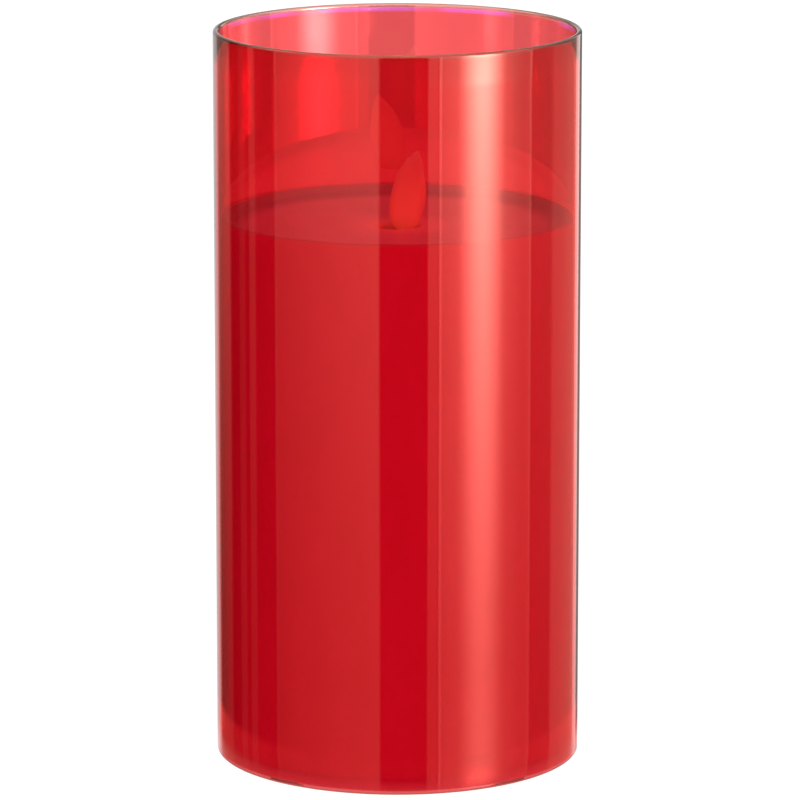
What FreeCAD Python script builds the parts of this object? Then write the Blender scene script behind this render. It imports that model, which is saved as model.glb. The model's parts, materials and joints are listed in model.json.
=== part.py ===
import FreeCAD, Part
import math
import os

# Flameless candle in a coloured glass tube: a hollow wax pillar with a swinging flame blade,
# standing on a moulded base that holds two AA cells and a slide switch.
# Millimetres, +Z up. The origin is the centre of the plane that the rubber feet stand on, and the
# viewer's side is -Y. The blade swings about a wire that runs along Y.

V = FreeCAD.Vector

# ---- glass tube -------------------------------------------------------------------------------
TOTAL_H = 202.0
GLASS_R = 50.0
GLASS_WALL = 1.6
GLASS_INNER_R = GLASS_R - GLASS_WALL
GLASS_BOTTOM = 1.0
GLASS_EDGE_ROUND = 0.72

# ---- base moulding ----------------------------------------------------------------------------
BASE_R = 47.6
BASE_BOTTOM = 1.8
BASE_TOP = 4.4
RING_OUTER_R = 41.7
RING_INNER_R = 40.0
RING_TOP = 12.0
FOOT_R = 4.5
FOOT_AT = 29.5
FOOT_POCKET = 0.5

# ---- AA cells and their bay -------------------------------------------------------------------
CELL_R = 7.15
CELL_BODY_L = 49.2
NUB_R = 2.75
NUB_L = 1.3
BAY_Y = -6.0
CELL_PITCH = 15.4
CELL_Z = 12.0
BAY_HALF_X = 28.5
BAY_HALF_Y = 15.2
BAY_WALL = 1.6
BAY_ROOF = 19.8
CONTACT_T = 0.5
SHELF_Z = 3.9

# ---- battery door -----------------------------------------------------------------------------
DOOR_HINGE_X = -30.3
DOOR_HINGE_Z = 2.75
DOOR_KNUCKLE_R = 0.85
DOOR_END_X = 30.9
DOOR_HALF_Y = 16.6
DOOR_GAP = 0.4
DOOR_PIN_R = 0.55
DOOR_PIN_L = 1.7
DOOR_PIN_FIT = 0.08

# ---- slide switch -----------------------------------------------------------------------------
SWITCH_Y = 24.0
SWITCH_STEP = 2.2
SLOT_L = 8.8
SLOT_W = 3.4
STEM_L = 3.8
STEM_W = 2.8
STEM_BOTTOM = 1.2
SWITCH_SCREW_X = 8.6

# ---- wax pillar -------------------------------------------------------------------------------
WAX_GAP = 0.3
WAX_R = GLASS_INNER_R - WAX_GAP
WAX_INNER_R = 42.0
WAX_CREST = 151.5
WAX_POOL = 148.2
CAVITY_TOP = 140.0
CAVITY_ROUND = 6.0
WICK_HOLE_R = 6.0
WICK_LIP = 1.6
COLLAR_POCKET_R = 9.0
COLLAR_POCKET_TOP = 144.2

# ---- tower ------------------------------------------------------------------------------------
SHELL_T = 1.6
COLUMN_R = 11.0
HEAD_R = 15.5
FOOT_BAR_Z0 = 22.0
FOOT_BAR_Z1 = 24.4
FOOT_BAR_HALF_X = 12.0
FOOT_BAR_HALF_Y = 38.5
CONE_Z0 = 100.0
CONE_Z1 = 107.0
HEAD_TOP = 139.8
HEAD_CEILING = 138.0
HEAD_OPENING_R = 8.7
BOSS_R = 3.2
BOSS_X = 9.0
BOSS_Y = 36.0
LUG_X = 14.2
LUG_R = 3.2
LUG_HALF_Y = 5.0
LUG_HEIGHTS = (50.0, 90.0)
LEAD_HOLE_Z = 34.0
LEAD_HOLE_R = 2.6
COIL_SHELF_Z0 = 110.9
COIL_SHELF_Z1 = 112.5

# ---- circuit board ----------------------------------------------------------------------------
BOARD_Z0 = 58.0
BOARD_Z1 = 97.0
BOARD_W = 17.2
BOARD_T = 1.2

# ---- coil -------------------------------------------------------------------------------------
BOBBIN_TOP = 123.4
BOBBIN_R = 8.0
BOBBIN_FLANGE_T = 1.2
BOBBIN_CORE_R = 2.6
BOBBIN_BORE_R = 1.6
WINDING_R = 7.2

# ---- flame blade, hung on the wire ------------------------------------------------------------
PIVOT_Z = 140.6
WIRE_R = 0.3
EYE_HOLE_R = 0.38
EYE_R = 1.9
BLADE_LEAN = 11.2
BLADE_T = 1.6
STEM_T = 1.2
# half width of the teardrop at each distance above the pivot
TEARDROP = ((1.5, 6.7), (2.9, 7.8), (4.3, 10.3), (4.85, 14.4), (4.4, 19.2), (2.95, 24.0), (1.15, 27.3))
TEARDROP_BOTTOM = 6.4
TEARDROP_TIP = 28.5
# the magnet is a counterweight, set to one side of the stem so that the blade hangs leaning
MAGNET_R = 2.5
MAGNET_TOP = -11.0
MAGNET_T = 3.6
MAGNET_ASIDE = 1.04
CUP_R = 3.0

# ---- collar and LED ---------------------------------------------------------------------------
COLLAR_R = 8.6
COLLAR_BORE_R = 7.0
COLLAR_FLANGE_R = 11.0
COLLAR_BOTTOM = 136.4
COLLAR_TOP = 143.6
LED_BASE = V(4.8, -9.0, 125.5)
LED_AIM = V(0.0, 0.0, 156.0)
LED_R = 2.5
LED_RIM_R = 2.9
LED_STRAIGHT = 6.2
LEAD_R = 0.55
LEG_R = 0.25


# ---- helpers ----------------------------------------------------------------------------------
def disc(radius, z0, z1, x=0.0, y=0.0):
    return Part.makeCylinder(radius, z1 - z0, V(x, y, z0))


def ring(outer, inner, z0, z1):
    return disc(outer, z0, z1).cut(disc(inner, z0, z1))


def block(x0, x1, y0, y1, z0, z1):
    return Part.makeBox(x1 - x0, y1 - y0, z1 - z0, V(x0, y0, z0))


def slab(x0, x1, y0, y1, z0, z1, corner):
    """A block whose four upright edges are rounded."""
    solid = block(x0, x1, y0, y1, z0, z1)
    upright = [e for e in solid.Edges if abs(e.BoundBox.ZLength - (z1 - z0)) < 1e-6]
    return solid.makeFillet(corner, upright)


def spun(edges):
    """The solid that a closed outline in the XZ plane sweeps round the Z axis."""
    return Part.Face(Part.Wire(edges)).revolve(V(0, 0, 0), V(0, 0, 1), 360)


def line(a, b):
    return Part.LineSegment(V(a[0], 0, a[1]), V(b[0], 0, b[1])).toShape()


def arc(a, middle, b):
    return Part.Arc(*(V(p[0], 0, p[1]) for p in (a, middle, b))).toShape()


def outline(*points):
    """Straight edges round a closed outline of (radius, height) points."""
    return [line(a, b) for a, b in zip(points, points[1:] + points[:1])]


def corner_arc(centre, radius, start, end):
    """An arc in the XZ plane between two angles in degrees."""
    at = [(centre[0] + radius * math.cos(math.radians(t)),
           centre[1] + radius * math.sin(math.radians(t))) for t in (start, (start + end) / 2, end)]
    return arc(*at), at[0], at[-1]


def joined(shapes):
    first, *others = shapes
    return first.multiFuse(others).removeSplitter() if others else first


def bent_tube(points, radius):
    """A round wire along straight runs joined by tangent arcs, each as large as its runs allow."""
    points = [V(*p) for p in points]
    edges, start = [], points[0]
    for before, corner, after in zip(points, points[1:], points[2:]):
        into, out = (corner - before).normalize(), (after - corner).normalize()
        turn = math.acos(max(-1.0, min(1.0, into.dot(out))))
        cut = 0.45 * min((corner - before).Length, (after - corner).Length)
        a, b = corner - into * cut, corner + out * cut
        bend = cut / math.tan(turn / 2)
        inward = (out - into).normalize()
        centre = corner + inward * (bend / math.cos(turn / 2))
        edges.append(Part.LineSegment(start, a).toShape())
        edges.append(Part.Arc(a, centre - inward * bend, b).toShape())
        start = b
    edges.append(Part.LineSegment(start, points[-1]).toShape())
    path = Part.Wire(edges)
    profile = Part.Wire([Part.Circle(points[0], points[1] - points[0], radius).toShape()])
    return path.makePipeShell([profile], True, False)


def leaned(shape):
    """A piece of the pendulum, drawn upright about the wire, at the lean that it rests with."""
    placed = shape.copy()
    placed.rotate(V(0, 0, PIVOT_Z), V(0, 1, 0), BLADE_LEAN)
    return placed


# ---- glass and wax ----------------------------------------------------------------------------
def glass_cylinder():
    r = GLASS_EDGE_ROUND
    outer, inner = GLASS_R, GLASS_INNER_R
    tube = ring(outer, inner, GLASS_BOTTOM, TOTAL_H)
    return tube.makeFillet(r, [e for e in tube.Edges if e.BoundBox.ZLength < 1e-6])


def wax_shell():
    crest, r0, r1 = corner_arc((WAX_R - 0.9, WAX_CREST - 0.9), 0.9, 0, 105)
    lip, l0, l1 = corner_arc((WICK_HOLE_R + WICK_LIP, WAX_POOL - WICK_LIP), WICK_LIP, 90, 180)
    pool = Part.BSplineCurve()
    pool.interpolate([V(r, 0, z) for r, z in (
        r1, (45.6, WAX_POOL + 1.35), (42.0, WAX_POOL + 0.62), (32.0, WAX_POOL + 0.22),
        (18.0, WAX_POOL + 0.04), l0)])
    roof, c0, c1 = corner_arc((WAX_INNER_R - CAVITY_ROUND, CAVITY_TOP - CAVITY_ROUND),
                              CAVITY_ROUND, 90, 0)
    corners = ((WICK_HOLE_R, COLLAR_POCKET_TOP), (COLLAR_POCKET_R, COLLAR_POCKET_TOP),
               (COLLAR_POCKET_R, CAVITY_TOP), c0)
    edges = [line((WAX_R, BASE_TOP), r0), crest, pool.toShape(), lip, line(l1, corners[0])]
    edges += [line(a, b) for a, b in zip(corners, corners[1:])]
    edges += [roof, line(c1, (WAX_INNER_R, BASE_TOP)), line((WAX_INNER_R, BASE_TOP), (WAX_R, BASE_TOP))]
    return spun(edges)


# ---- base -------------------------------------------------------------------------------------
def foot_places():
    return [(sx * FOOT_AT, sy * FOOT_AT) for sx in (-1, 1) for sy in (-1, 1)]


def boss_places():
    return [(sx * BOSS_X, sy * BOSS_Y) for sx in (-1, 1) for sy in (-1, 1)]


def cell_places():
    """(centre Y, direction of the positive end along X) of each cell."""
    return ((BAY_Y - CELL_PITCH / 2, 1), (BAY_Y + CELL_PITCH / 2, -1))


def base_housing():
    wall = BAY_WALL
    solid = [disc(BASE_R, BASE_BOTTOM, BASE_TOP), ring(RING_OUTER_R, RING_INNER_R, BASE_TOP, RING_TOP)]
    solid.append(slab(-BAY_HALF_X - wall, BAY_HALF_X + wall, BAY_Y - BAY_HALF_Y - wall,
                      BAY_Y + BAY_HALF_Y + wall, BASE_TOP, BAY_ROOF + wall, 2.0))
    solid += [disc(BOSS_R, BASE_TOP, FOOT_BAR_Z0, x, y) for x, y in boss_places()]
    body = joined(solid)
    cuts = [block(-BAY_HALF_X, BAY_HALF_X, BAY_Y - BAY_HALF_Y, BAY_Y + BAY_HALF_Y, SHELF_Z, BAY_ROOF)]
    cuts.append(slab(DOOR_HINGE_X - DOOR_KNUCKLE_R - DOOR_GAP, DOOR_END_X + DOOR_GAP,
                     BAY_Y - DOOR_HALF_Y - DOOR_GAP, BAY_Y + DOOR_HALF_Y + DOOR_GAP,
                     BASE_BOTTOM, SHELF_Z, 0.8))
    cuts.append(disc(6.0, BASE_BOTTOM, BASE_BOTTOM + 1.4, DOOR_END_X, BAY_Y))
    cuts.append(door_pin(DOOR_PIN_R + DOOR_PIN_FIT, DOOR_PIN_L + 0.3))
    cuts += [disc(FOOT_R + 0.2, BASE_BOTTOM, BASE_BOTTOM + FOOT_POCKET, x, y) for x, y in foot_places()]
    cuts += [disc(1.35, 8.0, FOOT_BAR_Z0, x, y) for x, y in boss_places()]
    cuts.append(slab(-7.0, 7.0, SWITCH_Y - 3.5, SWITCH_Y + 3.5, BASE_BOTTOM, BASE_BOTTOM + 1.0, 1.5))
    cuts.append(slab(-SLOT_L / 2, SLOT_L / 2, SWITCH_Y - SLOT_W / 2, SWITCH_Y + SLOT_W / 2,
                     BASE_BOTTOM, BASE_TOP, 0.6))
    cuts += [disc(1.05, 2.6, BASE_TOP, sx * SWITCH_SCREW_X, SWITCH_Y) for sx in (-1, 1)]
    # slots in the bay's roof for the solder tabs of the two end contacts
    cuts += [block(BAY_HALF_X - CONTACT_T, BAY_HALF_X, y - 1.6, y + 1.6, BAY_ROOF, BAY_ROOF + wall)
             for y, _ in cell_places()]
    body = body.cut(cuts)
    # raised polarity marks on the thumb side of the plate, and one dot per switch position
    marks = [disc(0.5, BASE_BOTTOM - 0.25, BASE_BOTTOM, step * SWITCH_STEP, SWITCH_Y + 5.2)
             for step in (-1, 0, 1)]
    marks.append(block(-3.2, 3.2, SWITCH_Y + 6.6, SWITCH_Y + 7.1, BASE_BOTTOM - 0.25, BASE_BOTTOM))
    return joined([body, *marks])


def bond_ring():
    return ring(GLASS_INNER_R, BASE_R, BASE_BOTTOM + 0.1, BASE_TOP - 0.1)


def rubber_feet():
    feet = []
    for x, y in foot_places():
        foot = disc(FOOT_R, 0.0, BASE_BOTTOM + FOOT_POCKET, x, y)
        feet.append(foot.makeFillet(0.4, [e for e in foot.Edges if e.BoundBox.ZMax < 1e-6]))
    return feet


def door_pin(radius, beyond):
    """The hinge pin's line, running past both ends of the door by the length beyond."""
    start = V(DOOR_HINGE_X, BAY_Y - DOOR_HALF_Y - beyond, DOOR_HINGE_Z)
    return Part.makeCylinder(radius, 2 * (DOOR_HALF_Y + beyond), start, V(0, 1, 0))


def battery_door():
    z0, z1 = DOOR_HINGE_Z - DOOR_KNUCKLE_R, DOOR_HINGE_Z + DOOR_KNUCKLE_R
    y0, y1 = BAY_Y - DOOR_HALF_Y, BAY_Y + DOOR_HALF_Y
    panel = block(DOOR_HINGE_X, DOOR_END_X, y0, y1, z0, z1)
    knuckle = Part.makeCylinder(DOOR_KNUCKLE_R, y1 - y0, V(DOOR_HINGE_X, y0, DOOR_HINGE_Z), V(0, 1, 0))
    pin = door_pin(DOOR_PIN_R, DOOR_PIN_L)
    ribs = [block(-24.0, 24.0, BAY_Y + y - 0.8, BAY_Y + y + 0.8, z1, z1 + 0.9) for y in (-14.0, 0.0, 14.0)]
    door = joined([panel, knuckle, pin, *ribs])
    tongue_slots = [block(DOOR_END_X - 11.0, DOOR_END_X, BAY_Y + side * 6.0 - 0.5,
                          BAY_Y + side * 6.0 + 0.5, z0, z1) for side in (-1, 1)]
    grips = [Part.makeCylinder(0.45, 7.0, V(DOOR_END_X - 2.0 - 1.8 * k, BAY_Y - 3.5, z0 - 0.15), V(0, 1, 0))
             for k in range(4)]
    return door.cut(tongue_slots + grips)


# ---- cells and contacts -----------------------------------------------------------------------
def battery_cell(y, plus):
    """An AA cell whose positive nub touches the end contact on the side that plus names."""
    nub_end = plus * (BAY_HALF_X - CONTACT_T)
    can_end = nub_end - plus * NUB_L
    nub = Part.makeCylinder(NUB_R, NUB_L, V(can_end, y, CELL_Z), V(plus, 0, 0))
    can = Part.makeCylinder(CELL_R, CELL_BODY_L, V(can_end, y, CELL_Z), V(-plus, 0, 0))
    can = can.makeFillet(0.5, [e for e in can.Edges if e.BoundBox.XLength < 1e-6])
    return joined([can, nub])


def contact_plate(x, y):
    """One upright contact plate against the bay's end wall at x."""
    return block(x, x + CONTACT_T, y - 5.2, y + 5.2, CELL_Z - 5.4, CELL_Z + 5.0)


def end_contact(y):
    """A contact at the +X end with its solder tab up through the bay's roof."""
    x = BAY_HALF_X - CONTACT_T
    tab = block(x, x + CONTACT_T, y - 1.5, y + 1.5, CELL_Z + 5.0, BAY_ROOF + BAY_WALL + 2.2)
    return joined([contact_plate(x, y), tab])


def jumper_contact():
    (y0, _), (y1, _) = cell_places()
    link = block(-BAY_HALF_X, -BAY_HALF_X + CONTACT_T, y0, y1, CELL_Z - 1.6, CELL_Z + 1.6)
    return joined([contact_plate(-BAY_HALF_X, y0), contact_plate(-BAY_HALF_X, y1), link])


def battery_spring(y, plus):
    """The cone spring between a cell's flat end and its contact plate."""
    wire, turns, wide, narrow = 0.3, 4.0, 5.0, 2.6
    gap = 2 * BAY_HALF_X - 2 * CONTACT_T - NUB_L - CELL_BODY_L
    length = gap - 2 * wire - 0.04
    slope = math.degrees(math.atan((narrow - wide) / length))
    helix = Part.makeHelix(length / turns, length, wide, slope)
    profile = Part.Wire([Part.Circle(V(wide, 0, 0), V(0, 1, 0), wire).toShape()])
    spring = helix.makePipeShell([profile], True, True)
    start = -plus * (BAY_HALF_X - CONTACT_T - wire - 0.02)
    spring.rotate(V(0, 0, 0), V(0, 1, 0), 90 * plus)
    spring.translate(V(start, y, CELL_Z))
    return spring


# ---- slide switch -----------------------------------------------------------------------------
def switch_flange():
    plate = slab(-10.5, 10.5, SWITCH_Y - 3.25, SWITCH_Y + 3.25, BASE_TOP, BASE_TOP + 0.5, 1.2)
    slot = block(-SLOT_L / 2, SLOT_L / 2, SWITCH_Y - SLOT_W / 2, SWITCH_Y + SLOT_W / 2,
                 BASE_TOP, BASE_TOP + 0.5)
    holes = [disc(1.05, BASE_TOP, BASE_TOP + 0.5, sx * SWITCH_SCREW_X, SWITCH_Y) for sx in (-1, 1)]
    return plate.cut([slot, *holes])


def switch_body():
    z0 = BASE_TOP + 0.5
    case = slab(-6.5, 6.5, SWITCH_Y - 3.0, SWITCH_Y + 3.0, z0, z0 + 5.2, 0.4)
    return case.cut(block(-5.1, 5.1, SWITCH_Y - 2.1, SWITCH_Y + 2.1, z0, z0 + 2.7))


def switch_pins():
    z0 = BASE_TOP + 5.7
    return [block(x - 0.4, x + 0.4, SWITCH_Y - 0.2, SWITCH_Y + 0.2, z0, z0 + 2.5) for x in (-2.5, 0.0, 2.5)]


def switch_slider():
    x, z_shoulder = SWITCH_STEP, BASE_TOP + 0.7
    stem = slab(x - STEM_L / 2, x + STEM_L / 2, SWITCH_Y - STEM_W / 2, SWITCH_Y + STEM_W / 2,
                STEM_BOTTOM, z_shoulder, 0.4)
    shoe = block(x - 2.7, x + 2.7, SWITCH_Y - 1.9, SWITCH_Y + 1.9, z_shoulder, z_shoulder + 2.2)
    grips = [Part.makeCylinder(0.3, STEM_W, V(x + step, SWITCH_Y - STEM_W / 2, STEM_BOTTOM), V(0, 1, 0))
             for step in (-1.1, 0.0, 1.1)]
    return joined([stem, shoe]).cut(grips)


def screw(head_r, head_h, shank_r, shank_l):
    """A pan-head screw along -Z with the underside of its head at the origin."""
    head = Part.makeCylinder(head_r, head_h)
    head = head.makeFillet(head_h * 0.45, [e for e in head.Edges if e.BoundBox.ZMin > head_h - 1e-6])
    shank = Part.makeCylinder(shank_r, shank_l, V(0, 0, 0), V(0, 0, -1))
    shank = shank.makeChamfer(shank_r * 0.5, [e for e in shank.Edges if e.BoundBox.ZMax < -shank_l + 1e-6])
    arms = [block(-head_r * 0.6, head_r * 0.6, -0.3, 0.3, head_h - 0.6, head_h),
            block(-0.3, 0.3, -head_r * 0.6, head_r * 0.6, head_h - 0.6, head_h)]
    return joined([head, shank]).cut(arms)


def moved(shape, x, y, z):
    placed = shape.copy()
    placed.translate(V(x, y, z))
    return placed


def switch_screws():
    one = screw(1.9, 1.2, 0.95, 1.9)
    return [moved(one, sx * SWITCH_SCREW_X, SWITCH_Y, BASE_TOP + 0.5) for sx in (-1, 1)]


# ---- tower ------------------------------------------------------------------------------------
def tower_walls(inset):
    """The tower's column, cone and head, each wall moved in by inset."""
    top = HEAD_TOP if inset == 0 else HEAD_CEILING
    bottom = FOOT_BAR_Z0
    return spun(outline((0, bottom), (COLUMN_R - inset, bottom), (COLUMN_R - inset, CONE_Z0),
                        (HEAD_R - inset, CONE_Z1), (HEAD_R - inset, top), (0, top)))


def gusset(side):
    """The triangular web between the column and one arm of the foot bar."""
    near, far = side * (COLUMN_R - 0.5), side * (FOOT_BAR_HALF_Y - 9.0)
    web = Part.makePolygon([V(-1, near, FOOT_BAR_Z1), V(-1, far, FOOT_BAR_Z1),
                            V(-1, near, FOOT_BAR_Z1 + 34.0), V(-1, near, FOOT_BAR_Z1)])
    return Part.Face(web).extrude(V(2, 0, 0))


def tower():
    walls = [tower_walls(0), slab(-FOOT_BAR_HALF_X, FOOT_BAR_HALF_X, -FOOT_BAR_HALF_Y, FOOT_BAR_HALF_Y,
                                  FOOT_BAR_Z0, FOOT_BAR_Z1, 4.0)]
    walls += [gusset(side) for side in (-1, 1)]
    for z in LUG_HEIGHTS:
        for side in (-1, 1):
            walls.append(Part.makeCylinder(LUG_R, 2 * LUG_HALF_Y, V(side * LUG_X, -LUG_HALF_Y, z), V(0, 1, 0)))
            inner, outer = sorted((side * (COLUMN_R - 1.0), side * LUG_X))
            walls.append(block(inner, outer, -LUG_HALF_Y, LUG_HALF_Y, z - 2.2, z + 2.2))
    body = joined(walls).cut(tower_walls(SHELL_T))
    board_ledges = [ring(COLUMN_R - SHELL_T + 0.2, 6.5, z, z + 1.5) for z in (BOARD_Z0 - 1.6, BOARD_Z1 + 0.1)]
    coil_shelf = ring(HEAD_R - SHELL_T + 0.2, 6.0, COIL_SHELF_Z0, COIL_SHELF_Z1)
    body = joined([body, *board_ledges, coil_shelf])
    cuts = [disc(HEAD_OPENING_R, HEAD_CEILING, HEAD_TOP)]
    cuts += [Part.makeCylinder(LEAD_HOLE_R, 6.0, V(side * (COLUMN_R - 4.0), 0, LEAD_HOLE_Z), V(side, 0, 0))
             for side in (-1, 1)]
    cuts += [disc(1.35, FOOT_BAR_Z0, FOOT_BAR_Z1, x, y) for x, y in boss_places()]
    cuts += [Part.makeCylinder(1.35, 2 * LUG_HALF_Y - 1.2, V(side * LUG_X, -LUG_HALF_Y, z), V(0, 1, 0))
             for side in (-1, 1) for z in LUG_HEIGHTS]
    # the way for the LED's legs through the coil shelf
    cuts.append(disc(2.7, COIL_SHELF_Z0, COIL_SHELF_Z1, LED_BASE.x + 0.6, LED_BASE.y - 0.6))
    return body.cut(cuts)


def tower_half(side):
    """The half of the tower on one side of its parting plane y = 0."""
    y0, y1 = (0.0, 60.0) if side > 0 else (-60.0, 0.0)
    return tower().common(block(-60, 60, y0, y1, 0, TOTAL_H))


def tower_screws():
    one = screw(2.5, 1.6, 1.25, 8.2)
    one.rotate(V(0, 0, 0), V(1, 0, 0), 90)
    return [moved(one, side * LUG_X, -LUG_HALF_Y, z) for side in (-1, 1) for z in LUG_HEIGHTS]


def foot_screws():
    one = screw(2.6, 1.7, 1.25, 10.0)
    return [moved(one, x, y, FOOT_BAR_Z1) for x, y in boss_places()]


# ---- coil, wire and pendulum ------------------------------------------------------------------
def coil_bobbin():
    z0, z1, t = COIL_SHELF_Z1, BOBBIN_TOP, BOBBIN_FLANGE_T
    return joined([ring(BOBBIN_R, BOBBIN_BORE_R, z0, z0 + t), ring(BOBBIN_CORE_R, BOBBIN_BORE_R, z0, z1),
                   ring(BOBBIN_R, BOBBIN_BORE_R, z1 - t, z1)])


def coil_winding():
    return ring(WINDING_R, BOBBIN_CORE_R, COIL_SHELF_Z1 + BOBBIN_FLANGE_T, BOBBIN_TOP - BOBBIN_FLANGE_T)


def wire_at_rest(radius, half_length):
    return Part.makeCylinder(radius, 2 * half_length, V(0, -half_length, PIVOT_Z), V(0, 1, 0))


def pivot_collar():
    collar = joined([ring(COLLAR_R, COLLAR_BORE_R, COLLAR_BOTTOM, COLLAR_TOP),
                     ring(COLLAR_FLANGE_R, COLLAR_BORE_R, COLLAR_BOTTOM, HEAD_CEILING)])
    return collar.cut(wire_at_rest(WIRE_R, COLLAR_R + 1))


def pivot_wire():
    return wire_at_rest(WIRE_R, COLLAR_R - 0.2)


def flame_blade():
    def at(x, up):
        return V(x, -BLADE_T / 2, PIVOT_Z + up)

    bottom, tip = at(0, TEARDROP_BOTTOM), at(0, TEARDROP_TIP)
    sides = []
    for sign in (1, -1):
        curve = Part.BSplineCurve()
        curve.interpolate([bottom, *(at(sign * w, up) for w, up in TEARDROP), tip])
        sides.append(curve.toShape())
    leaf = Part.Face(Part.Wire(Part.__sortEdges__(sides))).extrude(V(0, BLADE_T, 0))
    half = STEM_T / 2
    stem = block(-1.3, 1.3, -half, half, PIVOT_Z + MAGNET_TOP + 0.8, PIVOT_Z + TEARDROP_BOTTOM + 1.5)
    eye = Part.makeCylinder(EYE_R, STEM_T, V(0, -half, PIVOT_Z), V(0, 1, 0))
    cup = disc(CUP_R, PIVOT_Z + MAGNET_TOP, PIVOT_Z + MAGNET_TOP + 0.8, MAGNET_ASIDE)
    blade = joined([leaf, stem, eye, cup])
    return leaned(blade.cut(wire_at_rest(EYE_HOLE_R, STEM_T)))


def pendulum_magnet():
    top = PIVOT_Z + MAGNET_TOP
    return leaned(disc(MAGNET_R, top - MAGNET_T, top, MAGNET_ASIDE))


# ---- LED --------------------------------------------------------------------------------------
def aimed(shape):
    """A piece drawn along +Z from the origin, placed on the LED's slanted axis."""
    placed = shape.copy()
    placed.Placement = FreeCAD.Placement(LED_BASE, FreeCAD.Rotation(V(0, 0, 1), LED_AIM - LED_BASE))
    return placed


def flame_led():
    lens = joined([Part.makeCylinder(LED_RIM_R, 1.0), Part.makeCylinder(LED_R, LED_STRAIGHT),
                   Part.makeSphere(LED_R, V(0, 0, LED_STRAIGHT))])
    return aimed(lens)


def led_clip():
    clip = Part.makeCylinder(3.5, 3.0, V(0, 0, 1.2)).cut(Part.makeCylinder(LED_R, 3.0, V(0, 0, 1.2)))
    return aimed(clip)


def led_legs():
    legs = []
    for step in (-0.8, 0.8):
        top = LED_BASE + V(step, 0, -0.35)
        legs.append(bent_tube([top, (5.4 + step, -9.6, 119.0), (5.4 + step, -9.4, 109.5),
                               (4.4 + step, -4.6, 102.5), (4.4 + step, -0.9, 98.5),
                               (4.4 + step, -0.9, 93.0)], LEG_R))
    return legs


# ---- circuit board ----------------------------------------------------------------------------
def circuit_board():
    return block(-BOARD_W / 2, BOARD_W / 2, -BOARD_T / 2, BOARD_T / 2, BOARD_Z0, BOARD_Z1)


def controller_chip():
    y = -BOARD_T / 2
    body = block(-2.5, 2.5, y - 1.6, y - 0.2, 76.0, 80.0)
    legs = []
    for k in range(4):
        x = -1.9 + 1.27 * k
        for z0, z1 in ((75.0, 76.0), (80.0, 81.0)):
            legs.append(block(x - 0.2, x + 0.2, y - 0.9, y, z0, z1))
    return joined([body, *legs])


def capacitor():
    return Part.makeCylinder(2.5, 4.6, V(-4.5, -BOARD_T / 2, 88.5), V(0, -1, 0))


def chip_resistors():
    y = -BOARD_T / 2
    return [block(x - 0.8, x + 0.8, y - 0.5, y, z, z + 0.9)
            for x, z in ((-5.5, 66.0), (-5.5, 69.0), (5.6, 73.0), (5.6, 76.0), (5.6, 79.0))]


def drive_transistor():
    y = -BOARD_T / 2
    return block(0.6, 3.6, y - 1.1, y, 68.0, 69.4)


# ---- leads ------------------------------------------------------------------------------------
def battery_lead(y, side):
    """The lead from an end contact's solder tab to one face of the board."""
    x_tab = BAY_HALF_X + LEAD_R + 0.05
    hole = side * 1.2
    return bent_tube([(x_tab, y, BAY_ROOF + BAY_WALL + 0.6), (x_tab, y, 29.0), (20.5, y * 0.4 + hole, LEAD_HOLE_Z),
                      (9.5, hole, LEAD_HOLE_Z), (4.0, hole, 41.0), (3.5, hole, 50.0), (3.5, hole, 62.0)],
                     LEAD_R)


def switch_leads():
    leads = []
    for pin_x, side, out_x in ((-2.5, -1, -19.0), (2.5, 1, -22.0)):
        hole = side * 1.2
        top = BASE_TOP + 8.2
        leads.append(bent_tube([(pin_x, SWITCH_Y, top + 0.1), (pin_x, SWITCH_Y, top + 3.4 + side),
                                (out_x + 6.0, SWITCH_Y - 2.0 - side, top + 5.0 + side),
                                (out_x, 16.0, 26.0), (out_x + 3.0, 5.0 + hole, LEAD_HOLE_Z),
                                (-9.5, hole, LEAD_HOLE_Z), (-4.0, hole, 41.0), (-3.5, hole, 50.0),
                                (-3.5, hole, 62.0)], LEAD_R))
    return leads


def coil_leads():
    return [bent_tube([(x, 2.6, COIL_SHELF_Z1 - 0.05), (x, 2.6, 106.0), (x * 0.9, 0.9, 100.0),
                       (x * 0.9, 0.9, 93.0)], LEG_R) for x in (-4.0, 4.0)]


# ---- every piece, by its name -----------------------------------------------------------------
def pieces():
    (front_y, front_plus), (back_y, back_plus) = cell_places()
    return {
        "glass_cylinder": glass_cylinder(),
        "wax_shell": wax_shell(),
        "base_housing": base_housing(),
        "bond_ring": bond_ring(),
        "rubber_feet": rubber_feet(),
        "battery_door": battery_door(),
        "battery_cell_front": battery_cell(front_y, front_plus),
        "battery_cell_back": battery_cell(back_y, back_plus),
        "battery_spring_front": battery_spring(front_y, front_plus),
        "battery_spring_back": battery_spring(back_y, back_plus),
        "jumper_contact": jumper_contact(),
        "positive_contact": end_contact(front_y),
        "negative_contact": end_contact(back_y),
        "switch_flange": switch_flange(),
        "switch_body": switch_body(),
        "switch_pins": switch_pins(),
        "switch_slider": switch_slider(),
        "switch_screws": switch_screws(),
        "tower_front": tower_half(-1),
        "tower_back": tower_half(1),
        "tower_screws": tower_screws(),
        "foot_screws": foot_screws(),
        "coil_bobbin": coil_bobbin(),
        "coil_winding": coil_winding(),
        "pivot_collar": pivot_collar(),
        "pivot_wire": pivot_wire(),
        "flame_blade": flame_blade(),
        "pendulum_magnet": pendulum_magnet(),
        "flame_led": flame_led(),
        "led_clip": led_clip(),
        "led_legs": led_legs(),
        "circuit_board": circuit_board(),
        "controller_chip": controller_chip(),
        "capacitor": capacitor(),
        "chip_resistors": chip_resistors(),
        "drive_transistor": drive_transistor(),
        "positive_lead": battery_lead(front_y, -1),
        "negative_lead": battery_lead(back_y, 1),
        "switch_leads": switch_leads(),
        "coil_leads": coil_leads(),
    }


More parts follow.
